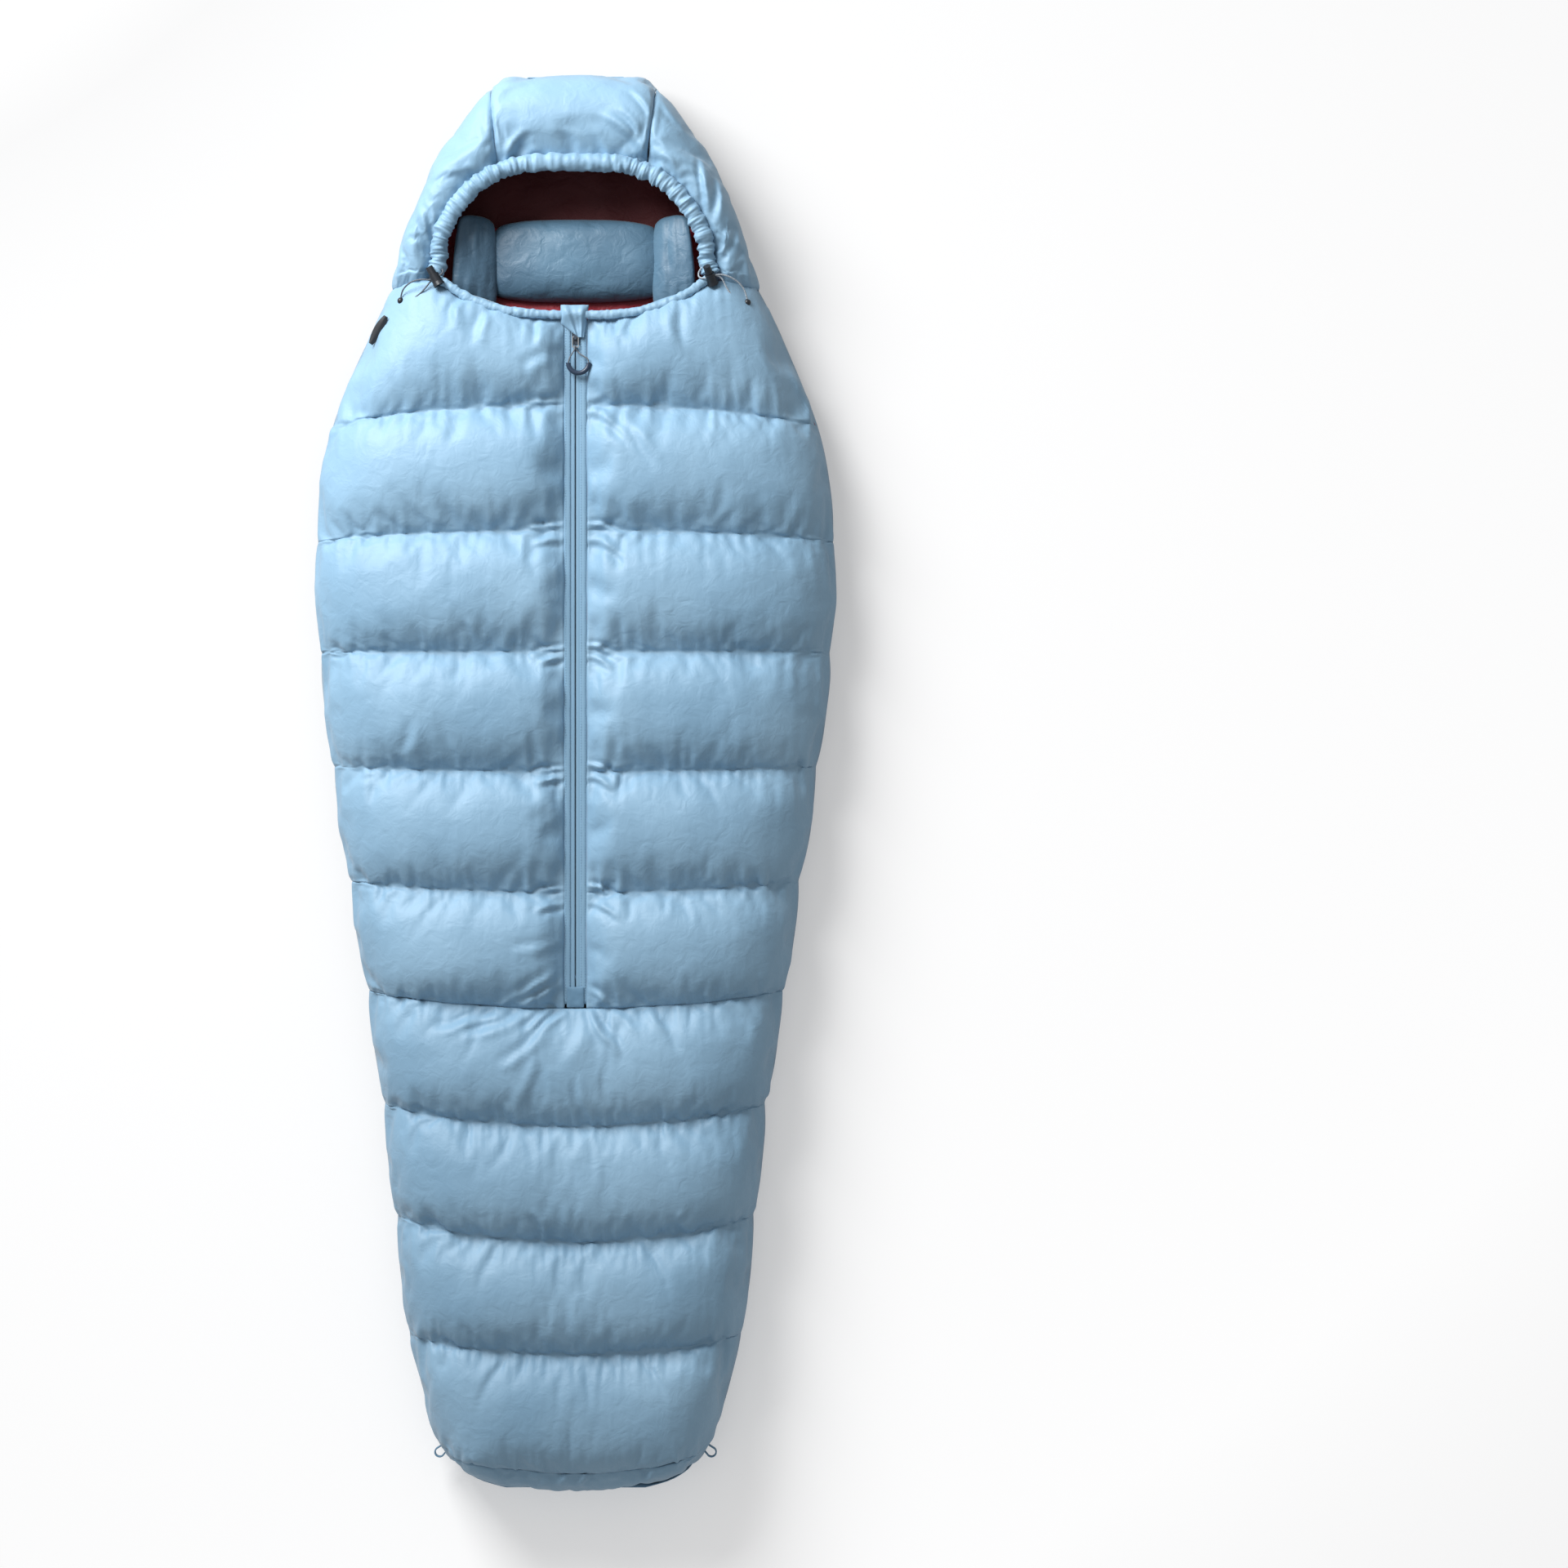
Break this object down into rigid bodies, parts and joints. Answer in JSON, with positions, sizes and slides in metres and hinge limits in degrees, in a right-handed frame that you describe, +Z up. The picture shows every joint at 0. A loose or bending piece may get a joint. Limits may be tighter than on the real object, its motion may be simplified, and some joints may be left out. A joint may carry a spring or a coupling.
{
  "type": "mummy sleeping bag",
  "caption": "Quilted mummy sleeping bag with a drawcord hood, draft collar, front zip with a sliding puller, sprung cord locks and foot hang loops.",
  "frame": {"origin": "centre of the footprint, on the ground that the bag lies on", "axes": "+Y toward the head, +X toward the right side as seen from above with the head up, +Z up"},
  "size_m": [0.778, 2.0995, 0.14],
  "materials": {
    "shell_taffeta": "calendered",
    "trim_taffeta": "calendered",
    "collar_taffeta": "calendered",
    "lining_taffeta": "matte",
    "zip_tape": "woven",
    "nylon_coil": "satin",
    "painted_zinc": "satin",
    "spring_steel": "satin",
    "acetal": "satin",
    "cord": "braided",
    "webbing": "woven",
    "woven_label": "woven"
  },
  "bodies": {
    "bag": {"back_baffle_1": "shell_taffeta", "back_baffle_10": "shell_taffeta", "back_baffle_2": "shell_taffeta", "back_baffle_3": "shell_taffeta", "back_baffle_4": "shell_taffeta", "back_baffle_5": "shell_taffeta", "back_baffle_6": "shell_taffeta", "back_baffle_7": "shell_taffeta", "back_baffle_8": "shell_taffeta", "back_baffle_9": "shell_taffeta", "cord_end_ball_left": "acetal", "cord_end_ball_right": "acetal", "cord_lock_left": "acetal", "cord_lock_right": "acetal", "cord_lock_spring_left": "spring_steel", "cord_lock_spring_right": "spring_steel", "draft_collar": "collar_taffeta", "draft_tube": "trim_taffeta", "drawcord_tail_left": "cord", "drawcord_tail_right": "cord", "foot_end_panel": "shell_taffeta", "front_baffle_left_1": "shell_taffeta", "front_baffle_left_2": "shell_taffeta", "front_baffle_left_3": "shell_taffeta", "front_baffle_left_4": "shell_taffeta", "front_baffle_left_5": "shell_taffeta", "front_baffle_left_6": "shell_taffeta", "front_baffle_right_1": "shell_taffeta", "front_baffle_right_2": "shell_taffeta", "front_baffle_right_3": "shell_taffeta", "front_baffle_right_4": "shell_taffeta", "front_baffle_right_5": "shell_taffeta", "front_baffle_right_6": "shell_taffeta", "front_lower_baffle_1": "shell_taffeta", "front_lower_baffle_2": "shell_taffeta", "front_lower_baffle_3": "shell_taffeta", "front_lower_baffle_4": "shell_taffeta", "hang_loops": "webbing", "hood_back_pad": "shell_taffeta", "hood_crown_panel": "shell_taffeta", "hood_drawcord": "cord", "hood_hem": "trim_taffeta", "hood_left_panel": "shell_taffeta", "hood_right_panel": "shell_taffeta", "lining": "lining_taffeta", "neck_hem": "trim_taffeta", "neck_label": "woven_label", "side_label": "woven_label", "zip_bottom_patch": "trim_taffeta", "zip_coils": "nylon_coil", "zip_garage": "trim_taffeta", "zip_stops": "nylon_coil", "zip_tape_left": "zip_tape", "zip_tape_right": "zip_tape"},
    "slider": {"slider_body": "painted_zinc"},
    "pull_tab": {"pull_tab": "painted_zinc"},
    "cord_pull": {"pull_cord": "cord", "pull_grip": "acetal"},
    "lock_plunger_left": {"cord_lock_plunger_left": "acetal"},
    "lock_plunger_right": {"cord_lock_plunger_right": "acetal"}
  },
  "joints": [
    {"name": "slider_slide", "type": "slide", "parent": "bag", "child": "slider", "axis": [0, -1, 0], "range_m": [0, 0.92]},
    {"name": "pull_tab_hinge", "type": "hinge", "parent": "slider", "child": "pull_tab", "pos_m": [0.004, 0.656, 0.1109], "axis": [-1, 0, 0], "range_deg": [0, 100]},
    {"name": "pull_cord_hinge", "type": "hinge", "parent": "pull_tab", "child": "cord_pull", "pos_m": [0.004, 0.641, 0.1109], "axis": [-1, 0, 0], "range_deg": [0, 60]},
    {"name": "cord_lock_left_press", "type": "slide", "parent": "bag", "child": "lock_plunger_left", "axis": [0.5049, -0.8632, 0], "range_m": [0, 0.004], "stiffness_N_per_m": 600, "springref_m": -0.004, "deforming": ["cord_lock_spring_left"]},
    {"name": "cord_lock_right_press", "type": "slide", "parent": "bag", "child": "lock_plunger_right", "axis": [0.2999, -0.7498, -0.5898], "range_m": [0, 0.004], "stiffness_N_per_m": 600, "springref_m": -0.004, "deforming": ["cord_lock_spring_right"]}
  ]
}
